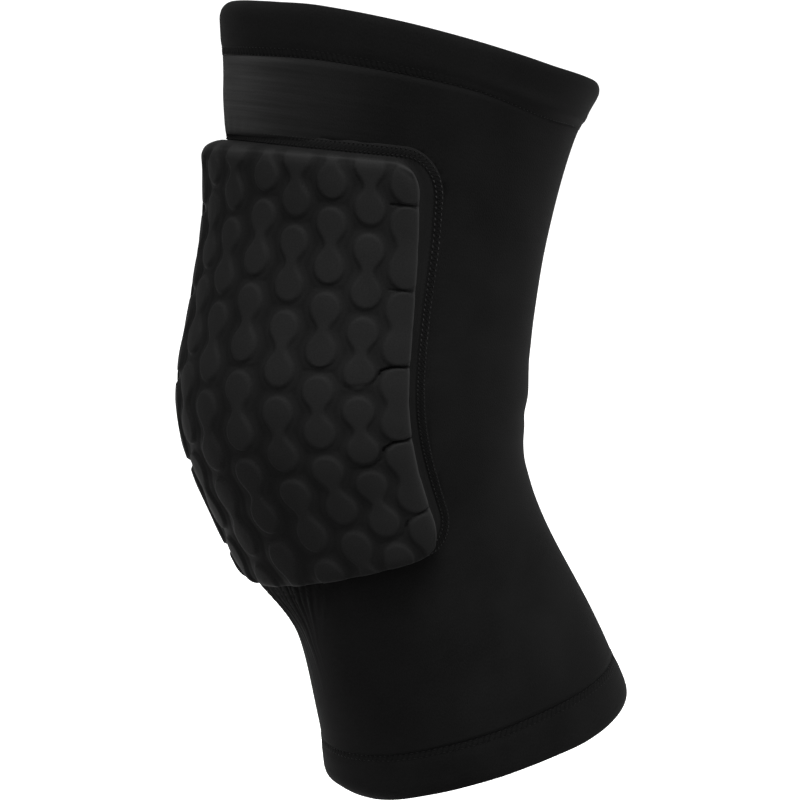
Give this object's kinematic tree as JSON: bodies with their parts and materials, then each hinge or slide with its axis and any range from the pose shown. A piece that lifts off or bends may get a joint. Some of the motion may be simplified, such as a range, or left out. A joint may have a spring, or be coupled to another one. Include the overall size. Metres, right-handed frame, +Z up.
{
  "type": "padded knee sleeve",
  "caption": "Bent stretch-knit knee sleeve with a thick moulded foam pad let into its front by a flat seam, and turned hems at thigh and shin.",
  "frame": {"origin": "centre of the knee on the limb's axis, inside the open sleeve, level with the middle of the knee bend", "axes": "+Z up the leg to the thigh rim, -Y to the front of the knee and the pad, +X to one side; the sleeve is the same on both sides of X = 0"},
  "size_m": [0.1376, 0.1803, 0.3033],
  "materials": {
    "knit": "matt black stretch knit",
    "pad_cloth": "smooth black cloth laminated over foam",
    "thread": "black seam thread"
  },
  "bodies": {
    "root": {"sleeve": "knit", "top_hem": "knit", "bottom_hem": "knit", "knee_pad": "pad_cloth", "pad_seam": "thread"}
  },
  "joints": []
}
